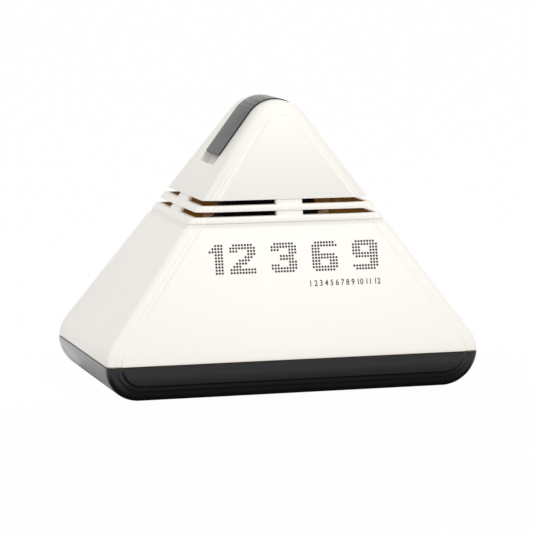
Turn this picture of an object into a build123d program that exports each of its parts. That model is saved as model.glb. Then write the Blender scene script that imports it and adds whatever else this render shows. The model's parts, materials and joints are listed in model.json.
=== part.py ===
"""A desk clock that speaks the time, in the shape of a rounded triangle.

White upper housing and cap, black base, and a black bar over the apex that is pressed to hear
the time. Lengths in millimetres, angles in degrees. X is to the right, the printed face looks
towards -Y, Z is up, and the origin is on the desk under the middle of the clock.
"""

import math
import os
from functools import cache

from build123d import *

os.makedirs("parts", exist_ok=True)

# Outer form
body_width = 165.0
body_height = 122.3
body_depth = 88.6
seam_height = 14.9
corner_radius = 15.0
apex_radius = 13.5
edge_radius = 3.0
upper_lean = 13.7
base_lean = 9.4
panel_border = 5.3
panel_foot_border = 6.2
panel_apex_radius = 8.6
panel_rise = 1.1
panel_chamfer = 0.7
rim_border = 3.3
rim_rise = 0.35
rim_chamfer = 0.3
inner_edge_radius = 0.5
wall = 2.2
overrun = 5.0
weld = 0.4
slide_gap = 0.3
fit_gap = 0.15
thread_gap = 0.05
small_edge = 0.3
quarter_turn = 90.0

# Rubber feet
foot_radius = 5.0
foot_stand = 0.8
foot_sink = 0.6
foot_x = 61.0
foot_y = 26.5

# Sound slots round the cap
cap_level = 70.0
slot_height = 2.2
slot_pitch = 4.65
groove_depth = 0.45
face_bridge = 11.5
face_bridge_shift = 0.9
side_bridge = 14.5
groove_count = 3

# Seams and lips
reveal_height = 0.55
reveal_depth = 0.6
lip_height = 2.0
lip_thickness = 1.2
flange_thickness = 2.2

# Talk bar over the apex
bar_width = 19.6
bar_thickness = 2.0
bar_proud = 0.5
bar_gap = 0.5
bar_end_height = 98.8
bar_edge = 0.3
bar_travel = 1.8
recess_end_height = 94.7
recess_floor = 1.6
recess_wall = 1.6
post_spread = 10.5
post_radius = 1.5
post_bore = 1.7
snap_radius = 2.1
snap_height = 1.2
snap_gap = 0.1
well_radius = 4.4
well_bore = 3.3
well_level = 104.5
well_floor = 1.2
boss_radius = 2.9
boss_level = 110.2
bar_spring_radius = 2.5
bar_spring_wire = 0.5
bar_spring_turns = 4
talk_post_radius = 2.0
talk_post_bore = 2.4

# Talk switch under the bar
talk_board_level = 101.0
talk_board_thickness = 1.6
talk_board_width = 14.0
talk_board_length = 36.0
talk_boss_spread = 14.0
talk_boss_radius = 2.6
dome_radius = 4.0
dome_top_radius = 2.0
dome_height = 3.7

# Loudspeaker in its black holder
speaker_radius = 18.5
speaker_rim = 3.5
speaker_sheet = 0.8
speaker_level = 79.0
speaker_depth = 9.0
basket_foot_radius = 12.5
magnet_radius = 13.0
magnet_height = 5.0
yoke_radius = 11.5
yoke_thickness = 2.0
voice_radius = 6.5
voice_wall = 0.3
voice_gap = 0.3
cone_thickness = 0.4
cone_drop = 5.6
dust_cap_rise = 2.0
roll_width = 3.0
gasket_thickness = 1.0
holder_wall = 1.0
holder_foot_radius = 24.0
holder_ledge = 1.4
holder_plate = 2.2
holder_half_x = 38.0
holder_half_y = 27.0
holder_corner = 6.0
holder_top = 82.0
lead_hole_radius = 2.6
lead_hole_x = 30.0
lead_hole_y = 20.0

# Screws
screw_radius = 1.4
screw_head_radius = 2.7
screw_head_height = 1.8
screw_slot = 0.6
screw_bite = 7.0
small_screw_radius = 0.9
small_head_radius = 1.8
small_head_height = 1.2
small_bite = 4.0
base_screw_x = 62.0
base_screw_y = 17.0
base_pillar_radius = 4.3
base_pillar_floor = 2.0
cap_screw_x = 32.0
boss_height = 11.0
boss_wall = 1.9
rib_thickness = 1.8

# Battery bay and its door
cell_radius = 7.1
cell_body = 49.2
cell_nub = 1.2
cell_nub_radius = 2.6
cell_pitch = 15.0
cell_air = 0.4
cell_touch = 0.05
cell_rows = 2
row_cells = 2
contact_thickness = 0.4
contact_width = 11.0
contact_spring_length = 3.2
contact_spring_wire = 0.6
contact_spring_radius = 3.4
contact_spring_turns = 3
tab_width = 3.0
tab_rise = 3.4
bay_front = 4.5
bay_wall = 1.6
bay_ledge = 1.4
door_thickness = 2.0
door_gap = 0.3
door_lap = 1.4
door_tongue = 1.5
door_tongue_thickness = 1.0
door_tongue_level = 0.7
grip_count = 5
grip_pitch = 2.2
grip_width = 1.0
grip_depth = 0.5
grip_length = 22.0

# Control field under the front half
field_half_x = 46.0
field_back = -6.0
field_front = -31.0
field_depth = 1.4
field_corner = 3.0
field_floor = 2.0
button_radius = 3.4
button_reach = 0.8
button_travel = 0.6
button_flange_radius = 4.4
button_flange = 1.1
button_stem_radius = 1.6
button_x = 10.0
button_pitch_x = 12.0
button_y = -18.5
button_pitch_y = 12.0
tact_size = 6.0
tact_height = 3.3
plunger_radius = 1.75
plunger_reach = 0.9
plunger_hidden = 1.0
knob_x = 37.0
knob_pitch_y = 12.0
knob_length = 3.0
knob_width = 3.4
knob_plate = 0.9
knob_stem_length = 2.0
knob_stem_width = 1.8
knob_travel = 4.0
can_length = 9.0
can_width = 5.0
knob_hidden = 1.6

# Main board and display
board_level = 10.0
board_thickness = 1.6
board_half_x = 54.0
board_front = -36.5
board_back = 1.5
board_post_radius = 3.0
board_post_x = 50.5
board_post_margin = 3.5
window_width = 32.0
window_height = 15.0
window_lap = 2.0
window_plate = 1.2
window_x = -25.0
glass_thickness = 2.6
glass_rail = 1.2
glass_air = 0.2
zebra_width = 2.0

# Parts on the board
speech_chip_x = -12.0
speech_chip_y = -14.0
speech_chip_length = 18.0
clock_chip_x = 22.0
clock_chip_y = -12.0
clock_chip_length = 12.0
chip_width = 7.6
chip_height = 2.3
crystal_x = 36.0
crystal_y = -14.0
crystal_length = 8.0
crystal_radius = 1.5
capacitor_x = -38.0
capacitor_y = -14.0
capacitor_pitch = 12.0
capacitor_radius = 4.0
capacitor_height = 11.0
capacitor_count = 2
resistor_count = 6
resistor_x = -8.0
resistor_y = -28.0
resistor_pitch = 5.0
resistor_length = 3.2
resistor_width = 1.6
resistor_height = 0.6
chip_pin_pitch = 1.27
chip_pin_width = 0.5
chip_pin_reach = 1.4
chip_pin_thickness = 0.3
chip_stand = 0.3

# Leads
lead_radius = 0.6
lead_pair_gap = 1.8
arc_share = 0.45

# Levels above the desk
underside = foot_stand
seam = underside + seam_height
cap_bottom = underside + cap_level
corner_level = underside + corner_radius
apex_level = underside + body_height - apex_radius
flange_level = cap_bottom - flange_thickness
holder_level = flange_level - holder_plate
rim_level = underside + speaker_level
board_bottom = underside + board_level
board_top = board_bottom + board_thickness
field_level = underside + field_depth
field_top = field_level + field_floor

# Slope of the two side faces
corner_x = body_width / 2 - corner_radius
centre_rise = apex_level - corner_level
centre_line = math.hypot(corner_x, centre_rise)
slope = math.atan2(centre_rise, corner_x) - math.asin((corner_radius - apex_radius) / centre_line)
slope_run = math.cos(slope)
slope_rise = math.sin(slope)
side_reach = corner_x * slope_rise + corner_level * slope_run + corner_radius

# Depth of the recess that lets the talk bar travel
recess_depth = bar_thickness - bar_proud + bar_travel + slide_gap


def side_x(level):
    """Half width of the outer form at a level on its straight side."""
    return (side_reach - level * slope_run) / slope_rise


@cache
def rounded_triangle(inset):
    """Front outline of the body, set in by inset all round."""
    with BuildSketch(Plane.XZ) as outline:
        with Locations((-corner_x, corner_level), (corner_x, corner_level)):
            Circle(corner_radius - inset)
        with Locations((0, apex_level)):
            Circle(apex_radius - inset)
        make_hull()
    return outline.sketch


@cache
def step_outline(border):
    """Outline of a raised step on the front and back, set in by its border."""
    radius = corner_radius - border
    top_radius = panel_apex_radius + panel_border - border
    reach = side_reach - border
    low = underside + panel_foot_border - panel_border + border + radius
    low_x = (reach - radius - low * slope_run) / slope_rise
    high = (reach - top_radius) / slope_run
    with BuildSketch(Plane.XZ) as outline:
        with Locations((-low_x, low), (low_x, low)):
            Circle(radius)
        with Locations((0, high)):
            Circle(top_radius)
        make_hull()
    return outline.sketch


def face_plane(side, lean, inset):
    """Plane of a leaning face, set in by inset. A negative lean draws in downwards."""
    tilt = math.radians(lean)
    hinge = Plane(origin=(0, side * body_depth / 2, seam),
                  z_dir=(0, side * math.cos(tilt), math.sin(tilt)))
    return hinge.offset(-inset)


def leaning_block(outline, lean, inset):
    """Outline extruded along Y between the two leaning faces."""
    with BuildPart() as block:
        extrude(outline, amount=body_depth, dir=(0, 1, 0), both=True)
        for side in (-1, 1):
            split(bisect_by=face_plane(side, lean, inset), keep=Keep.BOTTOM)
    return block.part


def face_edges(block):
    """The edges round the two leaning faces of a block."""
    faces = block.faces().filter_by(lambda face: abs(face.normal_at().Y) > math.cos(slope))
    return faces.edges()


@cache
def plain_form(lean, inset):
    """The body form without its raised steps, set in by inset all round."""
    with BuildPart() as form:
        add(leaning_block(rounded_triangle(inset), lean, inset))
        fillet(face_edges(form), radius=max(edge_radius - inset, inner_edge_radius))
    return form.part


def raised_step(border, rise, bevel, lean, inset):
    """A block that stands proud of the two leaning faces by its rise."""
    with BuildPart() as step:
        add(leaning_block(step_outline(border), lean, inset - rise))
        chamfer(face_edges(step), length=bevel)
    return step.part


def panelled_form(lean, inset):
    """The body form with its rim and its raised panels, set in by inset."""
    with BuildPart() as form:
        add(plain_form(lean, inset))
        add(raised_step(rim_border, rim_rise, rim_chamfer, lean, inset))
        add(raised_step(panel_border, panel_rise, panel_chamfer, lean, inset))
    return form.part


def band(form, low, high):
    """The slice of a form between two levels."""
    with BuildPart() as piece:
        add(form)
        split(bisect_by=Plane.XY.offset(low), keep=Keep.TOP)
        split(bisect_by=Plane.XY.offset(high), keep=Keep.BOTTOM)
    return piece.part


def box_between(low, high):
    """A box between two opposite corners, kept out of any part being built."""
    centre = [(start + end) / 2 for start, end in zip(low, high)]
    size = [end - start for start, end in zip(low, high)]
    return Pos(*centre) * Box(*size, mode=Mode.PRIVATE)


def rod(x, y, low, high, radius):
    """An upright cylinder between two levels, kept out of any part being built."""
    height = high - low
    return Pos(x, y, low + height / 2) * Cylinder(radius, height, mode=Mode.PRIVATE)


def mirrored(x, y):
    """The four places at plus and minus x and y."""
    return [(side * x, end * y) for side in (-1, 1) for end in (-1, 1)]


def turned(points):
    """A solid turned about the upright axis from points of radius and level."""
    with BuildPart() as piece:
        with BuildSketch(Plane.XZ):
            with BuildLine():
                Polyline(*points, close=True)
            make_face()
        revolve(axis=Axis.Z)
    return piece.part


def finish(part, name):
    """Label a piece and write its file."""
    part.label = name
    export_step(part, f"parts/{name}.step")


outer_upper = panelled_form(upper_lean, 0)
outer_lower = panelled_form(-base_lean, 0)
inner_upper = plain_form(upper_lean, wall)
inner_lower = plain_form(-base_lean, wall)
body_top = underside + body_height + overrun


# Base tray
pillar_top = seam
cell_step = cell_body + cell_nub + cell_touch
bay_half_x = cell_step + contact_spring_length / 2 + contact_thickness
cell_level = underside + door_thickness + door_gap + cell_air + cell_radius
bay_ceiling = cell_level + cell_radius + cell_air
bay_top = bay_ceiling + bay_wall
cell_row_y = bay_front + cell_air + cell_radius
bay_back = cell_row_y + cell_pitch + cell_radius + cell_air
bay_floor = underside + door_thickness + door_gap + bay_wall
opening_half_x = bay_half_x - bay_ledge
door_half_x = opening_half_x + door_lap
tongue_low = underside + door_tongue_level
tongue_high = tongue_low + door_tongue_thickness
outer_back = body_depth / 2 + overrun
window_centre = (window_x, (field_front + field_back) / 2)
post_places = [(side * board_post_x, y)
               for side in (-1, 1)
               for y in (board_front + board_post_margin, board_back - board_post_margin)]
button_places = {
    "hour": (button_x, button_y - button_pitch_y / 2),
    "minute": (button_x + button_pitch_x, button_y - button_pitch_y / 2),
    "alarm_set": (button_x, button_y + button_pitch_y / 2),
    "volume": (button_x + button_pitch_x, button_y + button_pitch_y / 2),
}
knob_places = {
    "alarm": (knob_x, button_y - knob_pitch_y / 2),
    "voice": (knob_x, button_y + knob_pitch_y / 2),
}
glass_width = window_width + 2 * window_lap
glass_height = window_height + 2 * window_lap

lip_outer = plain_form(upper_lean, wall + fit_gap)
lip_inner = plain_form(upper_lean, wall + fit_gap + lip_thickness)
lip_root_outer = plain_form(-base_lean, wall - weld)
lip_root_inner = plain_form(-base_lean, wall + fit_gap + lip_thickness)
tray_outside = band(outer_lower, -overrun, seam)
tray_inside = band(inner_lower, underside, seam + overrun)
tray_lip = band(lip_outer, seam - weld, seam + lip_height) - lip_inner
tray_lip_root = band(lip_root_outer, seam - lip_height, seam) - lip_root_inner

with BuildPart() as base_tray:
    add(tray_outside)
    add(tray_inside, mode=Mode.SUBTRACT)
    add(tray_lip)
    add(tray_lip_root)
    # Battery bay, open below, with a ledge at both ends
    add(box_between((-bay_half_x - bay_wall, bay_front - bay_wall, underside + wall / 2),
                    (bay_half_x + bay_wall, bay_back + bay_wall, bay_top)))
    add(box_between((-bay_half_x, bay_front, bay_floor), (bay_half_x, bay_back, bay_ceiling)),
        mode=Mode.SUBTRACT)
    add(box_between((-opening_half_x, bay_front + bay_ledge / 2, underside - overrun),
                    (opening_half_x, bay_back - bay_ledge / 2, bay_floor)), mode=Mode.SUBTRACT)
    add(box_between((-door_half_x - door_gap, bay_front - door_gap, underside - overrun),
                    (door_half_x + door_gap, outer_back, underside + door_thickness + door_gap)),
        mode=Mode.SUBTRACT)
    add(box_between((-door_half_x - door_tongue - door_gap, bay_front - door_gap,
                     tongue_low - door_gap),
                    (door_half_x + door_tongue + door_gap, outer_back, tongue_high + door_gap)),
        mode=Mode.SUBTRACT)
    # Slots for the solder tabs of the left contacts
    for row in range(cell_rows):
        tab_y = cell_row_y + row * cell_pitch
        add(box_between((-bay_half_x, tab_y - tab_width / 2 - fit_gap, bay_ceiling),
                        (-bay_half_x + contact_thickness + fit_gap,
                         tab_y + tab_width / 2 + fit_gap, bay_top + overrun)),
            mode=Mode.SUBTRACT)
    # Control field: a thicker floor inside and a shallow field outside
    with BuildSketch(Plane.XY.offset(underside + wall / 2)):
        with Locations((0, (field_front + field_back) / 2)):
            RectangleRounded(2 * (field_half_x + wall), field_back - field_front + 2 * wall,
                             field_corner)
    extrude(amount=field_top - underside - wall / 2)
    with BuildSketch(Plane.XY.offset(underside)):
        with Locations((0, (field_front + field_back) / 2)):
            RectangleRounded(2 * field_half_x, field_back - field_front, field_corner)
    extrude(amount=field_depth, mode=Mode.SUBTRACT)
    # Display opening and the rails that hold the glass
    with BuildSketch(Plane.XY.offset(field_top)):
        with Locations(window_centre):
            Rectangle(glass_width + 2 * (glass_air + glass_rail),
                      glass_height + 2 * (glass_air + glass_rail))
            Rectangle(glass_width + 2 * glass_air, glass_height + 2 * glass_air,
                      mode=Mode.SUBTRACT)
    extrude(amount=window_plate + glass_thickness / 2)
    with BuildSketch(Plane.XY.offset(underside)):
        with Locations(window_centre):
            Rectangle(window_width, window_height)
        with Locations(*button_places.values()):
            Circle(button_radius + slide_gap)
        with Locations(*[(x + knob_travel / 2, y) for x, y in knob_places.values()]):
            Rectangle(knob_stem_length + knob_travel + 2 * slide_gap,
                      knob_stem_width + 2 * slide_gap)
    extrude(amount=field_top - underside, mode=Mode.SUBTRACT)
    # Posts for the board and pillars for the base screws
    for x, y in post_places:
        add(rod(x, y, underside + wall / 2, board_bottom, board_post_radius))
        add(rod(x, y, underside + wall, board_bottom + weld, small_screw_radius + thread_gap),
            mode=Mode.SUBTRACT)
    for x, y in mirrored(base_screw_x, base_screw_y):
        add(rod(x, y, underside + wall / 2, pillar_top, base_pillar_radius))
        add(rod(x, y, underside - weld, pillar_top - base_pillar_floor,
                screw_head_radius + slide_gap), mode=Mode.SUBTRACT)
        add(rod(x, y, underside, pillar_top + weld, screw_radius + fit_gap), mode=Mode.SUBTRACT)
    # Seats of the feet
    for x, y in mirrored(foot_x, foot_y):
        add(rod(x, y, underside - weld, underside + foot_sink, foot_radius + fit_gap),
            mode=Mode.SUBTRACT)
finish(base_tray.part, "base_tray")


# Rubber feet
with BuildPart() as feet:
    for x, y in mirrored(foot_x, foot_y):
        add(rod(x, y, 0, underside + foot_sink, foot_radius))
    rims = feet.edges().group_by(Axis.Z)[0]
    fillet(rims, radius=small_edge)
finish(feet.part, "feet")


# Housing, with a reveal along its lower edge
housing_outside = band(outer_upper, seam, cap_bottom)
housing_inside = band(inner_upper, seam, flange_level)
housing_lip = band(lip_outer, cap_bottom - weld, cap_bottom + lip_height) - lip_inner
housing_reveal = band(outer_upper, seam, seam + reveal_height) - plain_form(upper_lean, reveal_depth)
with BuildPart() as housing:
    add(housing_outside)
    add(housing_inside, mode=Mode.SUBTRACT)
    add(housing_reveal, mode=Mode.SUBTRACT)
    add(housing_lip)
    add(rod(0, 0, flange_level - weld, cap_bottom + lip_height, holder_foot_radius + slide_gap),
        mode=Mode.SUBTRACT)
    add(rod(lead_hole_x, lead_hole_y, flange_level - weld, cap_bottom + weld, lead_hole_radius),
        mode=Mode.SUBTRACT)
    for x, y in mirrored(base_screw_x, base_screw_y):
        reach = side_x(seam + boss_height) - wall
        sign = math.copysign(1, x)
        add(rod(x, y, seam, seam + boss_height, screw_radius + boss_wall))
        add(box_between((min(x, sign * reach), y - rib_thickness / 2, seam + lip_height + weld),
                        (max(x, sign * reach), y + rib_thickness / 2, seam + boss_height)))
        add(rod(x, y, seam - weld, seam + screw_bite + weld, screw_radius + thread_gap),
            mode=Mode.SUBTRACT)
    for side in (-1, 1):
        add(rod(side * cap_screw_x, 0, flange_level - weld, cap_bottom + weld,
                screw_radius + fit_gap), mode=Mode.SUBTRACT)
finish(housing.part, "housing")


# Cap with the sound slots, the recess of the talk bar and the seats behind it
def slope_plane(side, level):
    """Plane square to a sloping side, through the outline at a level, looking uphill."""
    return Plane(origin=(side * side_x(level), 0, level),
                 z_dir=(-side * slope_run, 0, slope_rise))


def apex_strip(inset_out, inset_in, half_width, end_level):
    """A strip that follows the outline over the apex, between two insets."""
    with BuildPart() as strip:
        extrude(rounded_triangle(inset_out), amount=half_width, dir=(0, 1, 0), both=True)
        extrude(rounded_triangle(inset_in), amount=half_width + overrun, dir=(0, 1, 0),
                both=True, mode=Mode.SUBTRACT)
        for side in (-1, 1):
            split(bisect_by=slope_plane(side, end_level), keep=Keep.TOP)
    return strip.part


recess_half = bar_width / 2 + bar_gap
bar_end_level = underside + bar_end_height
recess_end_level = underside + recess_end_height
recess_base_level = recess_end_level - recess_wall * slope_rise
well_low = underside + well_level
bar_boss_level = underside + boss_level
talk_board_bottom = underside + talk_board_level
talk_board_top = talk_board_bottom + talk_board_thickness
dome_top = talk_board_top + dome_height
ceiling_level = underside + body_height - wall
groove_lows = [cap_bottom + level * slot_pitch for level in range(groove_count)]

cap_outside = band(outer_upper, cap_bottom, body_top)
cap_inside = band(inner_upper, cap_bottom - overrun, body_top)
skin = cap_outside - panelled_form(upper_lean, groove_depth)
groove_slabs = [box_between((-body_width / 2, -body_depth / 2 - panel_rise, low),
                            (body_width / 2, body_depth / 2 + panel_rise, low + slot_height))
                for low in groove_lows]
bridges = [
    box_between((face_bridge_shift - face_bridge / 2, -body_depth, cap_bottom),
                (face_bridge_shift + face_bridge / 2, body_depth, body_top)),
    box_between((-body_width, -side_bridge / 2, cap_bottom),
                (body_width, side_bridge / 2, body_top)),
]
rings = [skin & slab for slab in groove_slabs]
slots = [slab - bridges for slab in groove_slabs[1:]]
recess_seat = apex_strip(wall / 2, recess_depth + recess_floor, recess_half + recess_wall,
                         recess_base_level)
recess = apex_strip(-overrun, recess_depth, recess_half, recess_end_level)

with BuildPart() as cap:
    add(cap_outside)
    add(cap_inside, mode=Mode.SUBTRACT)
    add(rings + slots, mode=Mode.SUBTRACT)
    # Recess for the talk bar
    add(recess_seat)
    for side in (-1, 1):
        add(rod(side * post_spread, 0, well_low, ceiling_level - recess_depth - recess_floor,
                well_radius))
    add(recess, mode=Mode.SUBTRACT)
    for side in (-1, 1):
        add(rod(side * post_spread, 0, well_low + well_floor, body_top, well_bore),
            mode=Mode.SUBTRACT)
        add(rod(side * post_spread, 0, well_low - weld, body_top, post_bore),
            mode=Mode.SUBTRACT)
    add(rod(0, 0, talk_board_top, body_top, talk_post_bore), mode=Mode.SUBTRACT)
    # Bosses for the talk board and for the cap screws
    for side in (-1, 1):
        add(rod(0, side * talk_boss_spread, talk_board_top, ceiling_level + weld,
                talk_boss_radius))
        add(rod(0, side * talk_boss_spread, talk_board_top - weld, talk_board_top + small_bite,
                small_screw_radius + thread_gap), mode=Mode.SUBTRACT)
        boss_x = side * cap_screw_x
        rib_end = side * (side_x(cap_bottom + boss_height) - wall / 2)
        add(rod(boss_x, 0, cap_bottom, cap_bottom + boss_height, screw_radius + boss_wall))
        add(box_between((min(boss_x, rib_end), -rib_thickness / 2, cap_bottom + lip_height + weld),
                        (max(boss_x, rib_end), rib_thickness / 2, cap_bottom + boss_height)))
        add(rod(boss_x, 0, cap_bottom - weld, cap_bottom + screw_bite, screw_radius + thread_gap),
            mode=Mode.SUBTRACT)
finish(cap.part, "cap")


# Talk bar with its two guide posts and the switch post
def outline_distance(point):
    """How far a point lies outside the front outline near the apex."""
    if abs(point.X) > apex_radius * slope_rise:
        return abs(point.X) * slope_rise + point.Z * slope_run - side_reach
    return math.hypot(point.X, point.Z - apex_level) - apex_radius


bar_under = underside + body_height + bar_proud - bar_thickness
snap_top = well_low - snap_gap
with BuildPart() as bar_inside:
    extrude(rounded_triangle(weld - bar_proud), amount=body_depth, dir=(0, 1, 0), both=True)
bosses = [rod(side * post_spread, 0, bar_boss_level, bar_under, boss_radius) & bar_inside.part
          for side in (-1, 1)]

bar_strip = apex_strip(-bar_proud, bar_thickness - bar_proud, bar_width / 2, bar_end_level)
with BuildPart() as talk_bar:
    add(bar_strip)
    top_rims = [edge for edge in talk_bar.edges()
                if outline_distance(edge.center()) > bar_proud - bar_edge]
    fillet(top_rims, radius=bar_edge)
    add(bosses)
    for side in (-1, 1):
        post_x = side * post_spread
        add(rod(post_x, 0, snap_top - snap_height, bar_boss_level, post_radius))
        add(rod(post_x, 0, snap_top - snap_height, snap_top, snap_radius))
    add(rod(0, 0, dome_top, bar_under + weld, talk_post_radius))
finish(talk_bar.part, "talk_bar")


# Coil springs
def coil(x, y, low, height, radius, wire, turns):
    """An upright coil spring that stands on a level."""
    with BuildPart() as spring:
        with BuildLine() as path:
            Helix(pitch=(height - wire) / turns, height=height - wire, radius=radius)
        with BuildSketch(Plane(origin=path.line @ 0, z_dir=path.line % 0)):
            Circle(wire / 2)
        sweep(is_frenet=True)
    return Pos(x, y, low + wire / 2) * spring.part


with BuildPart() as bar_springs:
    for side in (-1, 1):
        add(coil(side * post_spread, 0, well_low + well_floor,
                 bar_boss_level - well_low - well_floor, bar_spring_radius, bar_spring_wire,
                 bar_spring_turns))
finish(bar_springs.part, "bar_springs")


# Talk switch: a rubber dome on a small board that hangs from the cap
with BuildPart() as talk_board:
    with BuildSketch(Plane.XY.offset(talk_board_bottom)):
        Rectangle(talk_board_width, talk_board_length)
        with Locations((0, -talk_boss_spread), (0, talk_boss_spread)):
            Circle(small_screw_radius + fit_gap, mode=Mode.SUBTRACT)
    extrude(amount=talk_board_thickness)
finish(talk_board.part, "talk_board")

with BuildPart() as talk_dome:
    with BuildSketch(Plane.XY.offset(talk_board_top)):
        Circle(dome_radius)
    with BuildSketch(Plane.XY.offset(dome_top)):
        Circle(dome_top_radius)
    loft()
finish(talk_dome.part, "talk_dome")


# Screws: pan head, cross slot and plain shank
def screw(x, y, seat, way, radius, head_radius, head_height, length):
    """A screw whose head stands on a level. Way is 1 for a shank that points up."""
    head_end = seat - way * head_height
    shank = rod(x, y, min(seat, seat + way * length), max(seat, seat + way * length), radius)
    head = rod(x, y, min(seat, head_end), max(seat, head_end), head_radius)
    body = head + shank
    for long_x, long_y in ((head_radius, screw_slot), (screw_slot, head_radius)):
        cut = [(x - long_x / 2, x + long_x / 2), (y - long_y / 2, y + long_y / 2)]
        slot_end = head_end + way * head_height / 2
        body -= box_between((cut[0][0], cut[1][0], min(head_end, slot_end)),
                            (cut[0][1], cut[1][1], max(head_end, slot_end)))
    return body


def screw_group(places, seat, way, radius, head_radius, head_height, length):
    """Several like screws in one piece."""
    with BuildPart() as group:
        for x, y in places:
            add(screw(x, y, seat, way, radius, head_radius, head_height, length))
    return group.part


base_screws = screw_group(mirrored(base_screw_x, base_screw_y), pillar_top - base_pillar_floor,
                          1, screw_radius, screw_head_radius, screw_head_height,
                          base_pillar_floor + screw_bite)
finish(base_screws, "base_screws")
cap_screws = screw_group([(-cap_screw_x, 0), (cap_screw_x, 0)], holder_level, 1, screw_radius,
                         screw_head_radius, screw_head_height,
                         holder_plate + flange_thickness + screw_bite - fit_gap)
finish(cap_screws, "cap_screws")
board_screws = screw_group(post_places, board_top, -1, small_screw_radius, small_head_radius,
                           small_head_height, board_thickness + small_bite)
finish(board_screws, "board_screws")
talk_board_screws = screw_group([(0, -talk_boss_spread), (0, talk_boss_spread)],
                                talk_board_bottom, 1, small_screw_radius, small_head_radius,
                                small_head_height, talk_board_thickness + small_bite - fit_gap)
finish(talk_board_screws, "talk_board_screws")


# Loudspeaker holder: a plate under the housing's flange and a tapered collar through it
holder_outer = speaker_radius + fit_gap + holder_wall
collar_top = underside + holder_top
collar_bore = speaker_radius - holder_ledge
ledge_level = rim_level - holder_ledge


def collar_radius(level):
    """Outer radius of the collar at a level above the flange."""
    rise_share = (level - flange_level) / (collar_top - flange_level)
    return holder_foot_radius + rise_share * (holder_outer - holder_foot_radius)


collar = turned([
    (holder_foot_radius - holder_wall, holder_level),
    (holder_foot_radius, holder_level),
    (holder_foot_radius, flange_level),
    (holder_outer, collar_top),
    (speaker_radius + fit_gap, collar_top),
    (speaker_radius + fit_gap, rim_level),
    (collar_bore, rim_level),
    (collar_bore, ledge_level),
    (collar_radius(ledge_level) - holder_wall, ledge_level),
])
with BuildPart() as speaker_holder:
    with BuildSketch(Plane.XY.offset(holder_level)):
        RectangleRounded(2 * holder_half_x, 2 * holder_half_y, holder_corner)
        Circle(holder_foot_radius - holder_wall, mode=Mode.SUBTRACT)
        with Locations((lead_hole_x, lead_hole_y)):
            Circle(lead_hole_radius, mode=Mode.SUBTRACT)
        with Locations((-cap_screw_x, 0), (cap_screw_x, 0)):
            Circle(screw_radius + fit_gap, mode=Mode.SUBTRACT)
    extrude(amount=holder_plate)
    add(collar)
finish(speaker_holder.part, "speaker_holder")


# Loudspeaker, turned about the upright axis
rim_top = rim_level + speaker_sheet
rim_bore = speaker_radius - speaker_rim
basket_floor = rim_level - speaker_depth
yoke_top = basket_floor
magnet_top = yoke_top - yoke_thickness
magnet_bottom = magnet_top - magnet_height
yoke_bottom = magnet_bottom - yoke_thickness
voice_outer = voice_radius + voice_wall
gap_outer = voice_outer + voice_gap
pole_radius = voice_radius - voice_gap
speaker_frame = turned([
    (speaker_radius, rim_top),
    (speaker_radius, rim_level),
    (rim_bore, rim_level),
    (basket_foot_radius, basket_floor),
    (gap_outer, basket_floor),
    (gap_outer, basket_floor + speaker_sheet),
    (basket_foot_radius - speaker_sheet, basket_floor + speaker_sheet),
    (rim_bore - speaker_sheet, rim_top),
])
finish(speaker_frame, "speaker_frame")

top_plate = turned([(gap_outer, magnet_top), (yoke_radius, magnet_top),
                    (yoke_radius, yoke_top), (gap_outer, yoke_top)])
finish(top_plate, "speaker_top_plate")
magnet_bore = yoke_radius - 2 * yoke_thickness
magnet = turned([(magnet_bore, magnet_bottom), (magnet_radius, magnet_bottom),
                 (magnet_radius, magnet_top), (magnet_bore, magnet_top)])
finish(magnet, "speaker_magnet")
yoke = turned([(0, yoke_bottom), (yoke_radius, yoke_bottom), (yoke_radius, magnet_bottom),
               (pole_radius, magnet_bottom), (pole_radius, yoke_top), (0, yoke_top)])
finish(yoke, "speaker_yoke")

roll_inner = rim_bore - roll_width
cone_foot = rim_top - cone_drop
cone = turned([
    (roll_inner, rim_top),
    (voice_outer, cone_foot),
    (voice_outer, cone_foot + cone_thickness),
    (roll_inner, rim_top + cone_thickness),
])
finish(cone, "speaker_cone")
voice_bottom = yoke_top - yoke_thickness
voice_top = cone_foot + cone_thickness
voice_coil = turned([(voice_radius, voice_bottom), (voice_outer, voice_bottom),
                     (voice_outer, voice_top), (voice_radius, voice_top)])
finish(voice_coil, "speaker_voice_coil")
surround = turned([
    (rim_bore + weld, rim_top),
    (speaker_radius - gasket_thickness, rim_top),
    (speaker_radius - gasket_thickness, rim_top + cone_thickness),
    (rim_bore, rim_top + cone_thickness),
    (rim_bore - roll_width / 4, rim_top + roll_width / 2),
    (roll_inner + roll_width / 4, rim_top + roll_width / 2),
    (roll_inner, rim_top + 2 * cone_thickness),
    (roll_inner - weld, rim_top + 2 * cone_thickness),
    (roll_inner - weld, rim_top + cone_thickness),
    (roll_inner + weld, rim_top + cone_thickness),
    (roll_inner + roll_width / 4 + weld, rim_top + roll_width / 2 - cone_thickness),
    (rim_bore - roll_width / 4 - weld, rim_top + roll_width / 2 - cone_thickness),
])
finish(surround, "speaker_surround")
dust_cap_level = voice_top
with BuildPart() as dust_cap:
    with BuildSketch(Plane.XZ):
        with BuildLine():
            edge_point = (voice_outer, dust_cap_level)
            top_point = (0, dust_cap_level + dust_cap_rise)
            RadiusArc(edge_point, top_point, -(voice_outer ** 2 + dust_cap_rise ** 2)
                      / (2 * dust_cap_rise))
            Polyline(top_point, (0, dust_cap_level), edge_point)
        make_face()
    revolve(axis=Axis.Z)
finish(dust_cap.part, "speaker_dust_cap")

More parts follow.
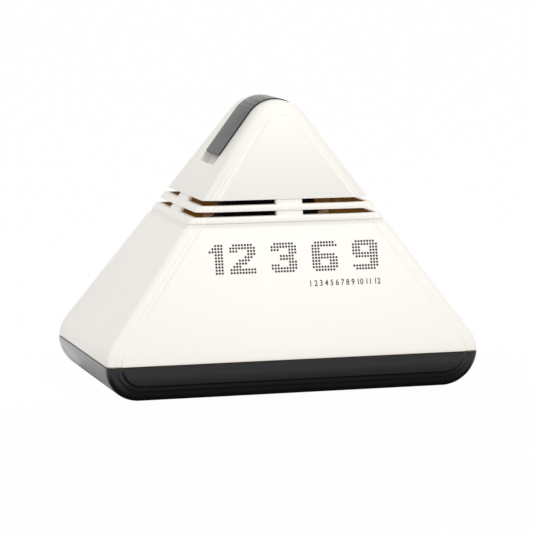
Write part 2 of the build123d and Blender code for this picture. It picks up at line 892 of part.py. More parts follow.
gasket_level = rim_top + cone_thickness
gasket_top = gasket_level + gasket_thickness
gasket = turned([(rim_bore + 2 * weld, gasket_level), (speaker_radius, gasket_level),
                 (speaker_radius, gasket_top), (rim_bore + 2 * weld, gasket_top)])
finish(gasket, "speaker_gasket")
holder_ring = turned([
    (rim_bore, gasket_top),
    (speaker_radius - fit_gap, gasket_top),
    (speaker_radius - fit_gap, collar_top),
    (rim_bore, collar_top),
])
finish(holder_ring, "speaker_ring")


# Battery door with its side tongues and finger grip
door_low = (-door_half_x, bay_front, underside)
door_high = (door_half_x, outer_back, underside + door_thickness)
tongue_reach = door_half_x + door_tongue
door_band = band(outer_lower, underside - weld, seam)
door_plate = door_band & box_between(door_low, door_high)
door_tongues = door_band & box_between((-tongue_reach, bay_front, tongue_low),
                                       (tongue_reach, bay_back, tongue_high))
with BuildPart() as battery_door:
    add(door_plate)
    add(door_tongues)
    grip_y = (bay_front + bay_back) / 2
    for rib in range(grip_count):
        rib_y = grip_y + (rib - (grip_count - 1) / 2) * grip_pitch
        add(box_between((-grip_length / 2, rib_y - grip_width / 2, underside - weld),
                        (grip_length / 2, rib_y + grip_width / 2, underside + grip_depth)),
            mode=Mode.SUBTRACT)
finish(battery_door.part, "battery_door")


# Battery cells: two rows of two, the rows the opposite way round
row_start = -bay_half_x + contact_thickness + contact_spring_length
with BuildPart() as battery_cells:
    for row in range(cell_rows):
        way = 1 - 2 * row
        row_y = cell_row_y + row * cell_pitch
        for place in range(row_cells):
            start = way * (row_start + place * cell_step)
            cell_end = start + way * cell_body
            nub_end = cell_end + way * cell_nub
            add(Pos((start + cell_end) / 2, row_y, cell_level) * Rot(0, quarter_turn, 0)
                * Cylinder(cell_radius, cell_body, mode=Mode.PRIVATE))
            add(Pos((cell_end + nub_end) / 2, row_y, cell_level) * Rot(0, quarter_turn, 0)
                * Cylinder(cell_nub_radius, cell_nub, mode=Mode.PRIVATE))
finish(battery_cells.part, "battery_cells")


# Battery contacts: two with solder tabs on the left, one link on the right
contact_low = bay_floor + fit_gap
contact_high = bay_ceiling - fit_gap
for row, name in enumerate(("battery_contact_minus", "battery_contact_plus")):
    row_y = cell_row_y + row * cell_pitch
    with BuildPart() as contact:
        add(box_between((-bay_half_x, row_y - contact_width / 2, contact_low),
                        (-bay_half_x + contact_thickness, row_y + contact_width / 2,
                         contact_high)))
        add(box_between((-bay_half_x, row_y - tab_width / 2, contact_high),
                        (-bay_half_x + contact_thickness, row_y + tab_width / 2,
                         bay_top + tab_rise)))
    finish(contact.part, name)
battery_link = box_between((bay_half_x - contact_thickness, cell_row_y - contact_width / 2,
                            contact_low),
                           (bay_half_x, cell_row_y + cell_pitch + contact_width / 2,
                            contact_high))
finish(battery_link, "battery_link")

with BuildPart() as battery_springs:
    for row in range(cell_rows):
        way = 1 - 2 * row
        upright = coil(0, 0, 0, contact_spring_length, contact_spring_radius,
                       contact_spring_wire, contact_spring_turns)
        start = way * (-bay_half_x + contact_thickness)
        add(Pos(start, cell_row_y + row * cell_pitch, cell_level)
            * Rot(0, way * quarter_turn, 0) * upright)
finish(battery_springs.part, "battery_springs")


# Display: clear window, glass and the two rubber strips that join it to the board
window_top = field_top + window_plate
glass_top = window_top + glass_thickness
with BuildPart() as display_window:
    with BuildSketch(Plane.XY.offset(field_top)):
        with Locations(window_centre):
            Rectangle(glass_width, glass_height)
    extrude(amount=window_plate)
    with BuildSketch(Plane.XY.offset(field_level + fit_gap)):
        with Locations(window_centre):
            Rectangle(window_width - 2 * fit_gap, window_height - 2 * fit_gap)
    extrude(amount=field_floor)
finish(display_window.part, "display_window")
with BuildPart() as display_glass:
    with BuildSketch(Plane.XY.offset(window_top)):
        with Locations(window_centre):
            Rectangle(glass_width, glass_height)
    extrude(amount=glass_thickness)
finish(display_glass.part, "display_glass")
with BuildPart() as display_strips:
    with BuildSketch(Plane.XY.offset(glass_top)):
        for side in (-1, 1):
            with Locations((window_x, window_centre[1] + side * (glass_height - zebra_width) / 2)):
                Rectangle(glass_width - zebra_width, zebra_width)
    extrude(amount=board_bottom - glass_top)
finish(display_strips.part, "display_strips")


# Push buttons, their plungers and the switches they press
tact_low = board_bottom - tact_height
stem_top = tact_low - plunger_reach
for name, (x, y) in button_places.items():
    with BuildPart() as button:
        add(rod(x, y, field_level - button_reach, field_top + button_flange, button_radius))
        add(rod(x, y, field_top, field_top + button_flange, button_flange_radius))
        add(rod(x, y, field_top + button_flange, stem_top, button_stem_radius))
        face = button.faces().sort_by(Axis.Z)[0]
        fillet(face.edges(), radius=small_edge)
    finish(button.part, f"{name}_button")
    plunger = rod(x, y, stem_top, tact_low + plunger_hidden, plunger_radius)
    finish(plunger, f"{name}_plunger")
with BuildPart() as tact_switches:
    with BuildSketch(Plane.XY.offset(tact_low)):
        with Locations(*button_places.values()):
            Rectangle(tact_size, tact_size)
    extrude(amount=tact_height)
    for x, y in button_places.values():
        add(rod(x, y, tact_low - weld,
                tact_low + plunger_hidden + button_travel + slide_gap,
                plunger_radius + fit_gap), mode=Mode.SUBTRACT)
finish(tact_switches.part, "button_switches")


# Slide switches: a knob outside, its stem inside a metal can
can_low = tact_low
for name, (x, y) in knob_places.items():
    with BuildPart() as knob:
        add(box_between((x - knob_length / 2, y - knob_width / 2, field_level - knob_plate),
                        (x + knob_length / 2, y + knob_width / 2, field_level - thread_gap)))
        add(box_between((x - knob_stem_length / 2, y - knob_stem_width / 2,
                         field_level - knob_plate),
                        (x + knob_stem_length / 2, y + knob_stem_width / 2,
                         can_low + knob_hidden)))
    finish(knob.part, f"{name}_switch_knob")
with BuildPart() as slide_switches:
    can_places = [(x + knob_travel / 2, y) for x, y in knob_places.values()]
    with BuildSketch(Plane.XY.offset(can_low)):
        with Locations(*can_places):
            Rectangle(can_length, can_width)
    extrude(amount=board_bottom - can_low)
    with BuildSketch(Plane.XY.offset(can_low)):
        with Locations(*can_places):
            Rectangle(knob_stem_length + knob_travel + 2 * slide_gap,
                      knob_stem_width + 2 * slide_gap)
    extrude(amount=knob_hidden + slide_gap, mode=Mode.SUBTRACT)
finish(slide_switches.part, "slide_switches")


# Main board
with BuildPart() as main_board:
    with BuildSketch(Plane.XY.offset(board_bottom)):
        with Locations((0, (board_front + board_back) / 2)):
            Rectangle(2 * board_half_x, board_back - board_front)
        with Locations(*post_places):
            Circle(small_screw_radius + fit_gap, mode=Mode.SUBTRACT)
    extrude(amount=board_thickness)
finish(main_board.part, "main_board")


# Parts on the board
def chip(x, y, length):
    """A flat chip with a row of legs along both long sides."""
    low = board_top + chip_stand
    legs = int(length / chip_pin_pitch) - 1
    leg_x = [x + (leg - (legs - 1) / 2) * chip_pin_pitch for leg in range(legs)]
    foot_y = (chip_width + chip_pin_reach) / 2
    knee_y = (chip_width + chip_pin_thickness) / 2
    feet_at = [(place, y + side * foot_y) for place in leg_x for side in (-1, 1)]
    knees_at = [(place, y + side * knee_y) for place in leg_x for side in (-1, 1)]
    with BuildPart() as body:
        with BuildSketch(Plane.XY.offset(low)):
            with Locations((x, y)):
                Rectangle(length, chip_width)
        extrude(amount=chip_height)
        with BuildSketch(Plane.XY.offset(board_top)):
            with Locations(*feet_at):
                Rectangle(chip_pin_width, chip_pin_reach)
        extrude(amount=chip_pin_thickness)
        with BuildSketch(Plane.XY.offset(board_top)):
            with Locations(*knees_at):
                Rectangle(chip_pin_width, chip_pin_thickness)
        extrude(amount=chip_stand + chip_height / 2)
    return body.part


finish(chip(speech_chip_x, speech_chip_y, speech_chip_length), "speech_chip")
finish(chip(clock_chip_x, clock_chip_y, clock_chip_length), "clock_chip")

with BuildPart() as crystal:
    add(Pos(crystal_x, crystal_y, board_top + crystal_radius) * Rot(quarter_turn, 0, 0)
        * Cylinder(crystal_radius, crystal_length, mode=Mode.PRIVATE))
finish(crystal.part, "crystal")

with BuildPart() as capacitors:
    for place in range(capacitor_count):
        x = capacitor_x + place * capacitor_pitch
        add(rod(x, capacitor_y, board_top, board_top + capacitor_height, capacitor_radius))
    fillet(capacitors.edges().group_by(Axis.Z)[-1], radius=small_edge)
finish(capacitors.part, "capacitors")

with BuildPart() as resistors:
    with BuildSketch(Plane.XY.offset(board_top)):
        for place in range(resistor_count):
            with Locations((resistor_x + place * resistor_pitch, resistor_y)):
                Rectangle(resistor_width, resistor_length)
    extrude(amount=resistor_height)
finish(resistors.part, "resistors")


# Leads inside the clock, each one smooth path of straight runs and arcs
def corner_radii(points):
    """Arc radius for each inner corner, from its shorter run and its turn."""
    radii = []
    for before, corner, after in zip(points, points[1:], points[2:]):
        arriving = Vector(*corner) - Vector(*before)
        leaving = Vector(*after) - Vector(*corner)
        half_turn = math.radians(arriving.get_angle(leaving)) / 2
        radii.append(arc_share * min(arriving.length, leaving.length) / math.tan(half_turn))
    return radii


def lead(name, points):
    """One insulated lead along a route."""
    radii = corner_radii(points)
    with BuildPart() as tube:
        with BuildLine() as path:
            FilletPolyline(*points, radius=radii)
        with BuildSketch(Plane(origin=path.line @ 0, z_dir=path.line % 0)):
            Circle(lead_radius)
        sweep()
    length = sum(edge.length for edge in path.line.edges())
    expected = math.pi * lead_radius ** 2 * length
    print(name, "radii", [round(radius, 1) for radius in radii], "length", round(length, 1),
          "volume share", round(tube.part.volume / expected, 4))
    return tube.part


def shifted(points, shift):
    """A route moved along Y, for the second lead of a pair."""
    return [(x, y + shift, z) for x, y, z in points]


battery_minus_route = [(-52.0, 12.0, 21.4), (-47.5, 12.0, 21.4), (-43.6, 8.4, 21.8),
                       (-42.0, 3.0, 21.4), (-42.0, -1.5, 20.0), (-42.1, -4.2, 16.6),
                       (-42.1, -4.2, 12.4)]
battery_plus_route = [(-52.0, 27.0, 21.4), (-47.0, 27.0, 21.4), (-42.4, 23.4, 21.8),
                      (-39.6, 16.0, 21.6), (-39.0, 8.5, 21.9), (-38.6, 1.5, 21.2),
                      (-38.4, -3.4, 18.6), (-38.4, -5.4, 16.0), (-38.4, -5.4, 12.4)]
speaker_route = [(-16.2, 0.0, 79.8), (-16.2, 0.0, 71.0), (-17.5, -1.2, 60.5),
                 (-22.5, -3.2, 48.0), (-28.5, -6.0, 35.0), (-31.0, -8.6, 22.6),
                 (-31.0, -8.6, 12.4)]
talk_route = [(2.0, 9.0, 101.8), (2.0, 9.0, 95.0), (11.0, 13.0, 88.5), (25.5, 18.2, 82.8),
              (30.0, 20.0, 66.0), (32.0, 15.5, 46.0), (38.0, 5.0, 29.0), (41.0, -4.4, 19.5),
              (41.0, -4.4, 12.4)]
finish(lead("battery_lead_minus", battery_minus_route), "battery_lead_minus")
finish(lead("battery_lead_plus", battery_plus_route), "battery_lead_plus")
pair_shifts = (-lead_pair_gap / 2, lead_pair_gap / 2)
speaker_pair = [lead("speaker_leads", shifted(speaker_route, shift)) for shift in pair_shifts]
talk_pair = [lead("talk_leads", shifted(talk_route, shift)) for shift in pair_shifts]
with BuildPart() as speaker_leads:
    add(speaker_pair)
finish(speaker_leads.part, "speaker_leads")
with BuildPart() as talk_leads:
    add(talk_pair)
finish(talk_leads.part, "talk_leads")
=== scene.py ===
"""Looks of a talking desk clock: shells, print, controls, loudspeaker, electronics, light and camera.

The clock stands on its rubber feet, with the printed face towards -Y. Every length is in metres
and named in millimetres through MM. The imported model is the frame: its nodes keep their place,
and what is modelled here lies at their boxes or on the body's form.
"""

import json
import logging
import math
from dataclasses import dataclass, field
from enum import Enum

import bpy
from mathutils import Matrix, Vector


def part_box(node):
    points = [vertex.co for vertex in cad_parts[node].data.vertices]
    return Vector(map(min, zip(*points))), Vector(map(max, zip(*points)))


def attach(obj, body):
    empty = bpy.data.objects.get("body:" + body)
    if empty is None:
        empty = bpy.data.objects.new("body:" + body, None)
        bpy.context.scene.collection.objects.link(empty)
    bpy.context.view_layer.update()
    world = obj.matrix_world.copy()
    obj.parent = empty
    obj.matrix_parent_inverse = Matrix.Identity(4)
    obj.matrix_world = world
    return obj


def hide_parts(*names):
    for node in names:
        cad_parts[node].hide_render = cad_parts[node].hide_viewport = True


logging.basicConfig(level=logging.INFO, format="%(levelname)s %(message)s")
log = logging.getLogger("talking_clock")

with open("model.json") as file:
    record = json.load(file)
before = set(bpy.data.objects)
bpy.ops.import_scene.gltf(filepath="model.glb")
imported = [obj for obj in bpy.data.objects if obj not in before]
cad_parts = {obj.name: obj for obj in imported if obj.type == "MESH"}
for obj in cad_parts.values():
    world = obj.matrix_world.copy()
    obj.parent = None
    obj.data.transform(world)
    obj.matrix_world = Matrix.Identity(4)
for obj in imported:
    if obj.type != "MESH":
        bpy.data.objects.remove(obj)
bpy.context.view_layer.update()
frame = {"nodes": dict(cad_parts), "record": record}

MM = 0.001
NODES = frame["nodes"]
SLOTS = {row["node"]: row["material_slot"] for row in frame["record"]["subparts"]}
BODIES = {node: body for body, nodes in frame["record"]["behaviour"]["bodies"].items()
          for node in nodes}

Triple = tuple[float, float, float]
Colour = tuple[float, float, float, float]
Finishes = dict[str, bpy.types.Material]


def rgba(red: float, green: float, blue: float) -> Colour:
    """A colour in linear light with full cover."""
    return (red, green, blue, 1.0)


def grey(level: float) -> Colour:
    """A neutral colour of one level."""
    return rgba(level, level, level)


def scaled(colour: Colour, amount: float) -> Colour:
    """A colour made lighter or darker."""
    return rgba(*(min(1.0, channel * amount) for channel in colour[:3]))


class Facing(Enum):
    """The two leaning faces of the body, each by the sign of its Y."""

    FRONT = -1
    BACK = 1


@dataclass(frozen=True)
class BodyForm:
    """The body's outer form: a rounded triangle between two leaning faces."""

    width: float = 165.0 * MM
    height: float = 122.3 * MM
    half_depth: float = 44.3 * MM
    underside: float = 0.8 * MM
    seam: float = 15.7 * MM
    corner_radius: float = 15.0 * MM
    apex_radius: float = 13.5 * MM
    lean: float = math.radians(13.7)
    panel_rise: float = 1.1 * MM

    @property
    def slope(self) -> float:
        """Angle of the two side faces over the desk.

        Returns:
            The angle in radians.
        """
        across = self.width / 2 - self.corner_radius
        rise = self.height - self.apex_radius - self.corner_radius
        turn = math.asin((self.corner_radius - self.apex_radius) / math.hypot(across, rise))
        return math.atan2(rise, across) - turn

    @property
    def reach(self) -> float:
        """Distance from the desk's middle to the line of a side face.

        Returns:
            The distance in metres.
        """
        across = self.width / 2 - self.corner_radius
        level = self.underside + self.corner_radius
        return across * math.sin(self.slope) + level * math.cos(self.slope) + self.corner_radius

    def panel_depth(self, level: float) -> float:
        """Distance of the raised panel from the middle plane at a level."""
        proud = self.half_depth + self.panel_rise / math.cos(self.lean)
        return proud - (level - self.seam) * math.tan(self.lean)


class Signal:
    """A shader socket that can be used in sums."""

    def __init__(self, tree: bpy.types.NodeTree, socket: bpy.types.NodeSocket) -> None:
        """Keep a socket and the tree it belongs to."""
        self.tree = tree
        self.socket = socket

    def _maths(self, operation: str, first: "Signal | float",
               second: "Signal | float" = 0.0) -> "Signal":
        """Add a Math node.

        Args:
            operation: Name of the sum.
            first: First value or signal.
            second: Second value or signal.

        Returns:
            The result as a signal.
        """
        node = self.tree.nodes.new("ShaderNodeMath")
        node.operation = operation
        for slot, value in zip(node.inputs, (first, second)):
            if isinstance(value, Signal):
                self.tree.links.new(value.socket, slot)
            else:
                slot.default_value = value
        return Signal(self.tree, node.outputs[0])

    def __add__(self, other: "Signal | float") -> "Signal":
        """Sum of two signals."""
        return self._maths("ADD", self, other)

    def __radd__(self, other: "Signal | float") -> "Signal":
        """Sum with a plain number in front."""
        return self._maths("ADD", other, self)

    def __sub__(self, other: "Signal | float") -> "Signal":
        """Difference of two signals."""
        return self._maths("SUBTRACT", self, other)

    def __rsub__(self, other: "Signal | float") -> "Signal":
        """Difference with a plain number in front."""
        return self._maths("SUBTRACT", other, self)

    def __mul__(self, other: "Signal | float") -> "Signal":
        """Product of two signals."""
        return self._maths("MULTIPLY", self, other)

    def __rmul__(self, other: "Signal | float") -> "Signal":
        """Product with a plain number in front."""
        return self._maths("MULTIPLY", other, self)

    def __truediv__(self, other: "Signal | float") -> "Signal":
        """Quotient of two signals."""
        return self._maths("DIVIDE", self, other)

    def above(self, level: float) -> "Signal":
        """One where the signal is above a level, else zero."""
        return self._maths("GREATER_THAN", self, level)

    def below(self, level: float) -> "Signal":
        """One where the signal is below a level, else zero."""
        return self._maths("LESS_THAN", self, level)

    def larger(self, other: "Signal") -> "Signal":
        """The larger of two signals."""
        return self._maths("MAXIMUM", self, other)

    def absolute(self) -> "Signal":
        """The signal without its sign."""
        return self._maths("ABSOLUTE", self)

    def folded(self, length: float) -> "Signal":
        """The signal folded back and forth between zero and a length."""
        return self._maths("PINGPONG", self, length)

    def striped(self, pitch: float, share: float) -> "Signal":
        """One on stripes two pitches apart, each wide by twice a share of the pitch."""
        return (self.folded(pitch) / pitch).below(share)


Value = Signal | bpy.types.NodeSocket | float | tuple


class NodeTree:
    """A node tree with one method that adds any node."""

    def __init__(self, tree: bpy.types.NodeTree) -> None:
        """Empty a tree and keep it."""
        self.tree = tree
        self.tree.nodes.clear()

    def node(self, kind: str, settings: dict | None = None,
             values: dict | None = None) -> bpy.types.Node:
        """Add any node.

        Args:
            kind: Node type.
            settings: Properties of the node.
            values: Names or numbers of input sockets, each with what feeds it.

        Returns:
            The new node.
        """
        node = self.tree.nodes.new(kind)
        for key, value in (settings or {}).items():
            setattr(node, key, value)
        for key, value in (values or {}).items():
            self.feed(node.inputs[key], value)
        return node

    def feed(self, socket: bpy.types.NodeSocket, value: Value) -> None:
        """Link or set one socket.

        Args:
            socket: Input socket of a node.
            value: Signal or output socket to link, or plain value to set.
        """
        if isinstance(value, Signal):
            self.tree.links.new(value.socket, socket)
        elif isinstance(value, bpy.types.NodeSocket):
            self.tree.links.new(value, socket)
        else:
            socket.default_value = value

    def signal(self, socket: bpy.types.NodeSocket) -> Signal:
        """Wrap a socket for sums."""
        return Signal(self.tree, socket)

    def blend(self, amount: Value, first: Value, second: Value) -> bpy.types.NodeSocket:
        """Blend two surfaces, all of the first where the amount is zero."""
        node = self.node("ShaderNodeMixShader", values={0: amount, 1: first, 2: second})
        return node.outputs[0]


class Shader(NodeTree):
    """The node tree of one material around a Principled shader."""

    def __init__(self, name: str) -> None:
        """Start a material with a bare Principled shader.

        Args:
            name: Name of the material.
        """
        self.material = bpy.data.materials.new(name)
        self.material.use_nodes = True
        super().__init__(self.material.node_tree)
        self.surface = self.node("ShaderNodeBsdfPrincipled")
        self.output = self.node("ShaderNodeOutputMaterial",
                                values={"Surface": self.surface.outputs["BSDF"]})
        self.place = self.node("ShaderNodeTexCoord").outputs["Object"]

    def noise(self, waves: float, detail: float = 3.0, roughness: float = 0.55,
              place: Value | None = None) -> Signal:
        """Noise over the object.

        Args:
            waves: Waves per metre.
            detail: Number of finer layers.
            roughness: Weight of the finer layers.
            place: Where the noise is read, if not at the place on the object.

        Returns:
            The noise from 0 to 1.
        """
        spot = self.place if place is None else place
        node = self.node("ShaderNodeTexNoise", values={"Vector": spot, "Scale": waves,
                                                       "Detail": detail,
                                                       "Roughness": roughness})
        return self.signal(node.outputs["Fac"])

    def axes(self) -> tuple[Signal, Signal, Signal]:
        """The place on the object as three signals, in metres."""
        split = self.node("ShaderNodeSeparateXYZ", values={"Vector": self.place})
        return tuple(self.signal(split.outputs[axis]) for axis in "XYZ")

    def ramp(self, value: Signal, low: float, high: float) -> Signal:
        """A soft step.

        Args:
            value: Signal that is stepped.
            low: Value at and below which the step is zero.
            high: Value at and above which the step is one.

        Returns:
            The step from 0 to 1.
        """
        node = self.node("ShaderNodeMapRange", {"interpolation_type": "SMOOTHSTEP"},
                         {"Value": value, "From Min": low, "From Max": high})
        return self.signal(node.outputs["Result"])

    def mix(self, amount: Value, first: Value, second: Value) -> bpy.types.NodeSocket:
        """Blend two colours.

        Args:
            amount: Share of the second colour.
            first: Colour where the amount is zero.
            second: Colour where the amount is one.

        Returns:
            Socket with the blended colour.
        """
        node = self.node("ShaderNodeMix", {"data_type": "RGBA"})
        self.feed(node.inputs["Factor"], amount)
        self.feed(node.inputs[6], first)
        self.feed(node.inputs[7], second)
        return node.outputs[2]

    def bump(self, height: Signal, depth: float = 1.0) -> None:
        """Feed the normal from a height, of which 1 stands for a depth in metres."""
        node = self.node("ShaderNodeBump", values={"Height": height, "Distance": depth})
        self.vary("Normal", node.outputs["Normal"])

    def constants(self, **values: float) -> None:
        """Set plain numbers on the Principled shader, with _ for a space in a name."""
        for key, value in values.items():
            self.surface.inputs[key.replace("_", " ")].default_value = value

    def vary(self, name: str, value: Value) -> None:
        """Feed a Principled socket that changes over the surface."""
        self.feed(self.surface.inputs[name], value)


@dataclass(frozen=True)
class Finish:
    """A finish that makes one material."""

    name: str

    def lay(self, shader: Shader) -> None:
        """Lay the finish on the surface, each kind in its own way."""
        raise NotImplementedError(self.name)

    def build(self) -> bpy.types.Material:
        """Make the material.

        Returns:
            The material with the finish on it.
        """
        shader = Shader(self.name)
        self.lay(shader)
        return shader.material


@dataclass(frozen=True)
class MouldedPlastic(Finish):
    """Moulded plastic with soft clouds, fine specks and the grain of its tool."""

    colour: Colour
    roughness: float
    ior: float = 1.46
    spread: float = 0.03
    warmth: float = 0.0
    haze: float = 0.06
    coat: float = 0.0
    cloud_waves: float = 18.0
    speck_waves: float = 420.0
    smear_waves: float = 70.0
    grain_waves: float = 2600.0
    grain_height: float = 0.012 * MM
    swell_waves: float = 45.0
    swell_height: float = 0.02 * MM

    def paint(self, shader: Shader) -> bpy.types.NodeSocket:
        """The clouded base colour.

        Args:
            shader: Node tree of the material.

        Returns:
            Socket with the colour.
        """
        cloud = shader.noise(self.cloud_waves, 4.0)
        speck = shader.noise(self.speck_waves, 2.0)
        light = scaled(self.colour, 1.0 + self.spread)
        dark = scaled(self.colour, 1.0 - self.spread)
        warm = rgba(dark[0], dark[1] * (1.0 - self.warmth), dark[2] * (1.0 - 2.0 * self.warmth))
        return shader.mix(0.75 * cloud + 0.25 * speck, light, warm)

    def lay(self, shader: Shader) -> None:
        """Lay the colour with smears in the gloss and a fine grain over a slight swell.

        Args:
            shader: Node tree of the material.
        """
        shader.vary("Base Color", self.paint(shader))
        smear = shader.noise(self.smear_waves, 5.0, 0.7)
        shader.vary("Roughness", self.roughness - self.haze / 2 + self.haze * smear)
        shader.constants(IOR=self.ior, Coat_Weight=self.coat, Coat_Roughness=self.roughness / 2)
        grain = shader.noise(self.grain_waves, 2.0)
        swell = shader.noise(self.swell_waves, 2.0)
        shader.bump(self.grain_height * grain + self.swell_height * swell)


@dataclass(frozen=True)
class ShellPlastic(MouldedPlastic):
    """White shell plastic with painted warm shade on its inner faces and a painted glow for light
    through the thin wall.
    """

    # painted warm shade of the inner faces, which lie in the shade of the shell
    inside: Colour = rgba(0.30, 0.165, 0.055)
    # painted glow that stands in for light passing through the wall
    passed: Colour = rgba(0.050, 0.023, 0.004)
    skin: float = 1.6 * MM
    inside_bottom: float = 30.0 * MM
    inside_top: float = 90.0 * MM
    # painted shade of the reveal groove over the seam, a warm brown
    reveal: Colour = rgba(0.40, 0.29, 0.19)
    reveal_height: float = 0.58 * MM
    form: BodyForm = BodyForm()

    def inside_share(self, shader: Shader) -> Signal:
        """One on the inner faces of the shell, where shade and glow are painted, zero outside.

        Args:
            shader: Node tree of the material.

        Returns:
            A mask over the object.
        """
        across, along, up = shader.axes()
        lean, slope = self.form.lean, self.form.slope
        face = (along.absolute() - self.form.half_depth) * math.cos(lean)
        face = face + (up - self.form.seam) * math.sin(lean)
        side = across.absolute() * math.sin(slope) + up * math.cos(slope) - self.form.reach
        between = up.above(self.inside_bottom) * up.below(self.inside_top)
        return face.larger(side).below(-self.skin) * between

    def paint(self, shader: Shader) -> bpy.types.NodeSocket:
        """The clouded base colour, with painted warm shade on the inner faces and in the reveal over
        the seam.

        Args:
            shader: Node tree of the material.

        Returns:
            Socket with the colour.
        """
        _, _, up = shader.axes()
        # painted shade: the band of the reveal over the seam is painted warm brown
        seam = up.below(self.form.seam + self.reveal_height)
        outside = shader.mix(seam, super().paint(shader), self.reveal)
        share = self.inside_share(shader)
        # the inner faces glow: painted light for what passes through the wall
        shader.vary("Emission Color", shader.mix(share, grey(0.0), self.passed))
        shader.constants(Emission_Strength=1.0)
        # painted warm shade on the inner faces
        return shader.mix(share, outside, self.inside)


@dataclass(frozen=True)
class PlatedSteel(Finish):
    """Zinc or nickel plated steel with fine drawn lines."""

    colour: Colour = rgba(0.62, 0.63, 0.65)
    roughness: float = 0.28
    line_waves: float = 900.0
    line_shares: Triple = (0.12, 1.0, 1.0)
    line_depth: float = 0.006 * MM
    patch_waves: float = 160.0

    def lay(self, shader: Shader) -> None:
        """Lay plating with faint patches and lines drawn out along X.

        Args:
            shader: Node tree of the material.
        """
        drawn = shader.node("ShaderNodeMapping",
                            values={"Vector": shader.place, "Scale": self.line_shares})
        line = shader.noise(self.line_waves, 3.0, 0.5, drawn.outputs[0])
        patch = shader.noise(self.patch_waves)
        shader.vary("Base Color", shader.mix(patch, self.colour, scaled(self.colour, 0.82)))
        shader.vary("Roughness", self.roughness + 0.14 * line)
        shader.constants(Metallic=1.0)
        shader.bump(line, self.line_depth)


@dataclass(frozen=True)
class Rubber(Finish):
    """Rubber or foam with a dull, slightly dusty skin, which suits ferrite too."""

    colour: Colour
    roughness: float = 0.62
    dust_waves: float = 300.0
    skin_waves: float = 140.0
    pore_waves: float = 3200.0
    pore_depth: float = 0.02 * MM

    def lay(self, shader: Shader) -> None:
        """Lay a dusty colour over fine pores.

        Args:
            shader: Node tree of the material.
        """
        dust = shader.noise(self.dust_waves, 5.0, 0.7)
        shader.vary("Base Color", shader.mix(dust, self.colour, scaled(self.colour, 1.35)))
        shader.vary("Roughness", self.roughness + 0.15 * shader.noise(self.skin_waves))
        shader.bump(shader.noise(self.pore_waves), self.pore_depth)


@dataclass(frozen=True)
class PressedPaper(Finish):
    """Paper pulp of a loudspeaker cone with pressed rings."""

    colour: Colour
    ring_pitch: float = 1.5 * MM
    fibre_waves: float = 1500.0
    relief: float = 0.15 * MM

    def lay(self, shader: Shader) -> None:
        """Lay fibres with rings round the middle of the object.

        Args:
            shader: Node tree of the material.
        """
        across, along, _ = shader.axes()
        flat = shader.node("ShaderNodeCombineXYZ", values={"X": across, "Y": along})
        distance = shader.node("ShaderNodeVectorMath", {"operation": "LENGTH"},
                               {0: flat.outputs[0]})
        ring = shader.signal(distance.outputs["Value"]).folded(self.ring_pitch)
        fibre = shader.noise(self.fibre_waves, 5.0, 0.75)
        shader.vary("Base Color", shader.mix(fibre, self.colour, scaled(self.colour, 0.6)))
        shader.vary("Roughness", 0.8 + 0.15 * fibre)
        shader.bump(0.6 * (ring / self.ring_pitch) + 0.4 * fibre, self.relief)


@dataclass(frozen=True)
class CircuitBoard(Finish):
    """Green coated board with copper tracks under the coat and tinned pads."""

    coat: Colour = rgba(0.012, 0.085, 0.030)
    track: Colour = rgba(0.045, 0.22, 0.070)
    tin: Colour = rgba(0.62, 0.62, 0.60)
    pitch: float = 2.54 * MM
    track_share: float = 0.28
    pad_share: float = 0.2
    wander: float = 15.24 * MM
    wander_waves: float = 60.0
    area_waves: float = 95.0
    pad_waves: float = 210.0
    gloss_waves: float = 300.0
    relief: float = 0.04 * MM

    def lay(self, shader: Shader) -> None:
        """Lay wandering tracks, along X in some areas and along Y in others, and the pads.

        Args:
            shader: Node tree of the material.
        """
        across, along, _ = shader.axes()
        shift = (shader.noise(self.wander_waves, 0.0) - 0.5) * self.wander
        line_x = (across + shift).striped(self.pitch, self.track_share)
        line_y = (along + shift).striped(self.pitch, self.track_share)
        area = shader.noise(self.area_waves, 0.0).above(0.5)
        tracks = area * line_x + (1.0 - area) * line_y
        spots = (across.striped(self.pitch, self.pad_share)
                 * along.striped(self.pitch, self.pad_share))
        pads = spots * shader.noise(self.pad_waves, 0.0).above(0.52)
        coat = shader.mix(tracks, self.coat, self.track)
        shader.vary("Base Color", shader.mix(pads, coat, self.tin))
        shader.vary("Metallic", pads)
        shader.vary("Roughness", 0.30 + 0.12 * shader.noise(self.gloss_waves, 2.0))
        shader.bump(0.5 * tracks + 0.5 * pads, self.relief)


@dataclass(frozen=True)
class ClearPlastic(Finish):
    """Clear plastic that shows what lies behind it, with faint haze and a glossy skin."""

    tint: Colour
    roughness: float = 0.05
    cover: float = 0.10
    haze_waves: float = 220.0
    swell_waves: float = 90.0
    swell_height: float = 0.004 * MM

    def lay(self, shader: Shader) -> None:
        """Lay a thin tint that is a little denser in the haze.

        Args:
            shader: Node tree of the material.
        """
        haze = shader.noise(self.haze_waves, 4.0)
        shader.vary("Base Color", shader.mix(haze, self.tint, scaled(self.tint, 0.9)))
        shader.vary("Roughness", self.roughness + 0.05 * haze)
        shader.vary("Alpha", self.cover + 0.06 * haze)
        shader.constants(IOR=1.49)
        shader.bump(shader.noise(self.swell_waves, 1.0), self.swell_height)


